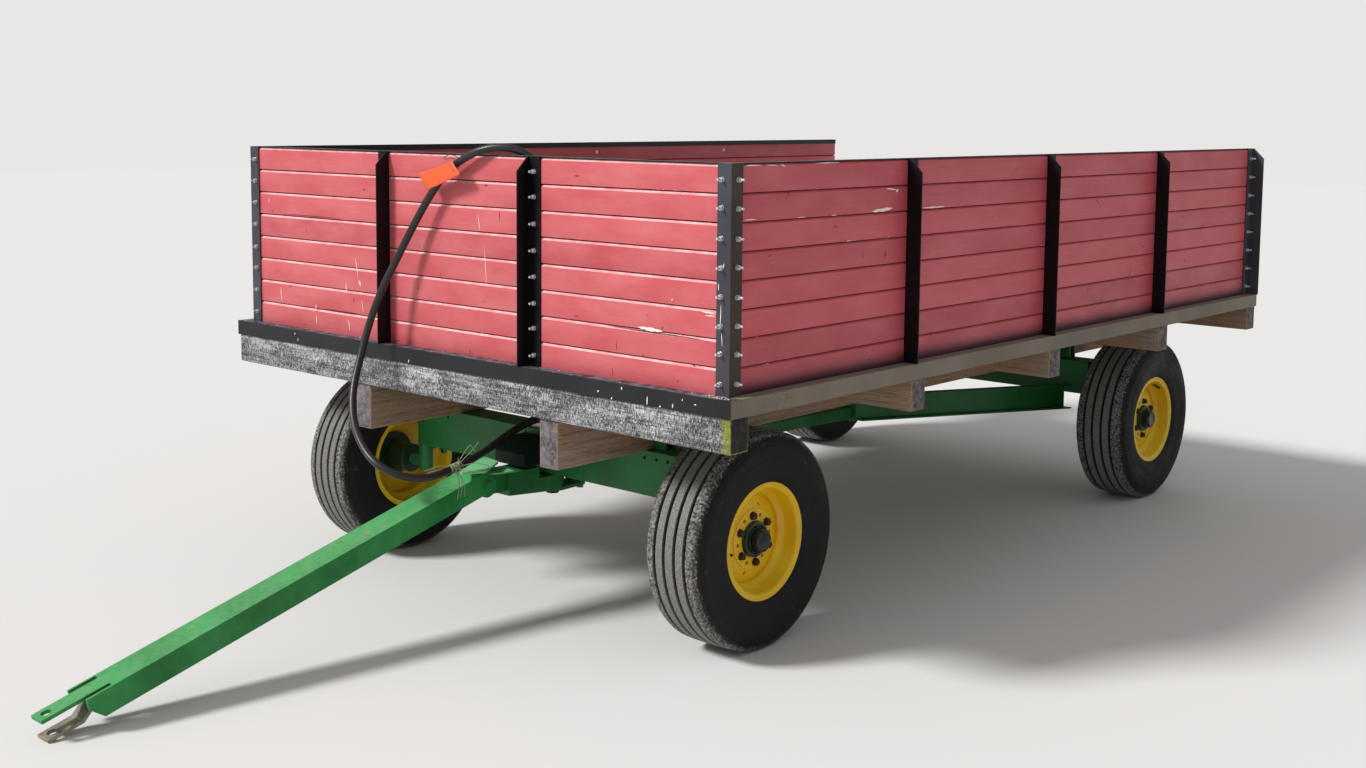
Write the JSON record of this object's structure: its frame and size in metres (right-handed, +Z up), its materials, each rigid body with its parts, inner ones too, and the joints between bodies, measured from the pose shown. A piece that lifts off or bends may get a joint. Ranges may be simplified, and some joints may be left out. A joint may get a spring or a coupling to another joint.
{
  "type": "hay wagon",
  "caption": "Four-wheeled hay wagon: a board-sided wooden box on a steerable steel gear with a long tongue.",
  "frame": {"origin": "on the ground under the middle of the wagon's whole length, in its plane of symmetry", "axes": "+Z up, +X to the wagon's left side, the tongue points to -Y and the open rear to +Y"},
  "size_m": [2.708, 5.678, 1.7551],
  "materials": {
    "barn_red_board": "red barn paint on planed boards, chipped and scratched",
    "weathered_timber": "bare weathered timber, grey at the ends",
    "black_steel": "satin black paint on angle iron",
    "green_steel": "gloss green paint, faded and rusting where it wears",
    "yellow_wheel": "gloss yellow paint with dust",
    "green_hub": "dark green paint with grease",
    "tyre_rubber": "ribbed tyre, dusty on the ribs",
    "bare_steel": "bare worn steel",
    "hose_rubber": "black hydraulic hose",
    "orange_tag": "faded orange tag, blank",
    "twine": "straw-coloured baling twine"
  },
  "bodies": {
    "chassis": {"front_axle": "green_steel", "rear_axle": "green_steel", "bolster_stakes": "green_steel", "steering_pin": "bare_steel", "reach_pole": "green_steel", "reach_collar": "green_steel", "rear_hound_left": "green_steel", "rear_hound_right": "green_steel", "stringers": "weathered_timber", "header_sill": "weathered_timber", "cross_sills": "weathered_timber", "deck_planks": "weathered_timber", "bed_edge_angles": "black_steel", "front_wall_boards": "barn_red_board", "left_wall_boards": "barn_red_board", "right_wall_boards": "barn_red_board", "front_corner_posts": "black_steel", "rear_corner_posts": "black_steel", "front_stakes": "black_steel", "left_side_stakes": "black_steel", "right_side_stakes": "black_steel", "top_rails": "black_steel", "hose": "hose_rubber", "hose_fitting": "bare_steel", "hose_coupler": "bare_steel", "hose_tie": "twine", "hose_tag": "orange_tag"},
    "tongue_yoke": {"tongue_yoke": "green_steel", "tongue_latch": "green_steel"},
    "tongue": {"tongue_beam": "green_steel", "tongue_lower_strap": "bare_steel", "tongue_hinge_pin": "bare_steel"},
    "knuckle_left": {"knuckle_left": "green_steel"},
    "knuckle_right": {"knuckle_right": "green_steel"},
    "tie_rod_left": {"tie_rod_left": "green_steel"},
    "tie_rod_right": {"tie_rod_right": "green_steel"},
    "front_left_wheel": {"front_left_tyre": "tyre_rubber", "front_left_rim": "yellow_wheel", "front_left_hub": "green_hub"},
    "front_right_wheel": {"front_right_tyre": "tyre_rubber", "front_right_rim": "yellow_wheel", "front_right_hub": "green_hub"},
    "rear_left_wheel": {"rear_left_tyre": "tyre_rubber", "rear_left_rim": "yellow_wheel", "rear_left_hub": "green_hub"},
    "rear_right_wheel": {"rear_right_tyre": "tyre_rubber", "rear_right_rim": "yellow_wheel", "rear_right_hub": "green_hub"}
  },
  "joints": [
    {"name": "steer", "type": "hinge", "parent": "chassis", "child": "tongue_yoke", "pos_m": [0, -0.73904, 0.44], "axis": [0, 0, 1], "range_deg": [-30, 30]},
    {"name": "tongue_pitch", "type": "hinge", "parent": "tongue_yoke", "child": "tongue", "pos_m": [0, -1.12804, 0.483], "axis": [-1, 0, 0], "range_deg": [0, 16]},
    {"name": "kingpin_left", "type": "hinge", "parent": "chassis", "child": "knuckle_left", "pos_m": [0.775, -0.73904, 0.44], "axis": [0, 0, 1], "range_deg": [-30, 30]},
    {"name": "tie_rod_left_pin", "type": "hinge", "parent": "tongue_yoke", "child": "tie_rod_left", "pos_m": [0.028, -0.61704, 0.425], "axis": [0, 0, 1], "range_deg": [-30, 30]},
    {"name": "kingpin_right", "type": "hinge", "parent": "chassis", "child": "knuckle_right", "pos_m": [-0.775, -0.73904, 0.44], "axis": [0, 0, 1], "range_deg": [-30, 30]},
    {"name": "tie_rod_right_pin", "type": "hinge", "parent": "tongue_yoke", "child": "tie_rod_right", "pos_m": [-0.028, -0.61704, 0.425], "axis": [0, 0, 1], "range_deg": [-30, 30]},
    {"name": "front_left_spin", "type": "hinge", "parent": "knuckle_left", "child": "front_left_wheel", "pos_m": [0.959, -0.73904, 0.387], "axis": [1, 0, 0], "continuous": true},
    {"name": "front_right_spin", "type": "hinge", "parent": "knuckle_right", "child": "front_right_wheel", "pos_m": [-0.959, -0.73904, 0.387], "axis": [1, 0, 0], "continuous": true},
    {"name": "rear_left_spin", "type": "hinge", "parent": "chassis", "child": "rear_left_wheel", "pos_m": [0.959, 2.30896, 0.387], "axis": [1, 0, 0], "continuous": true},
    {"name": "rear_right_spin", "type": "hinge", "parent": "chassis", "child": "rear_right_wheel", "pos_m": [-0.959, 2.30896, 0.387], "axis": [1, 0, 0], "continuous": true}
  ],
  "couplings": [
    {"joint": "kingpin_left", "follows": "steer", "ratio": 1},
    {"joint": "kingpin_right", "follows": "steer", "ratio": 1},
    {"joint": "tie_rod_left_pin", "follows": "steer", "ratio": -1},
    {"joint": "tie_rod_right_pin", "follows": "steer", "ratio": -1}
  ]
}
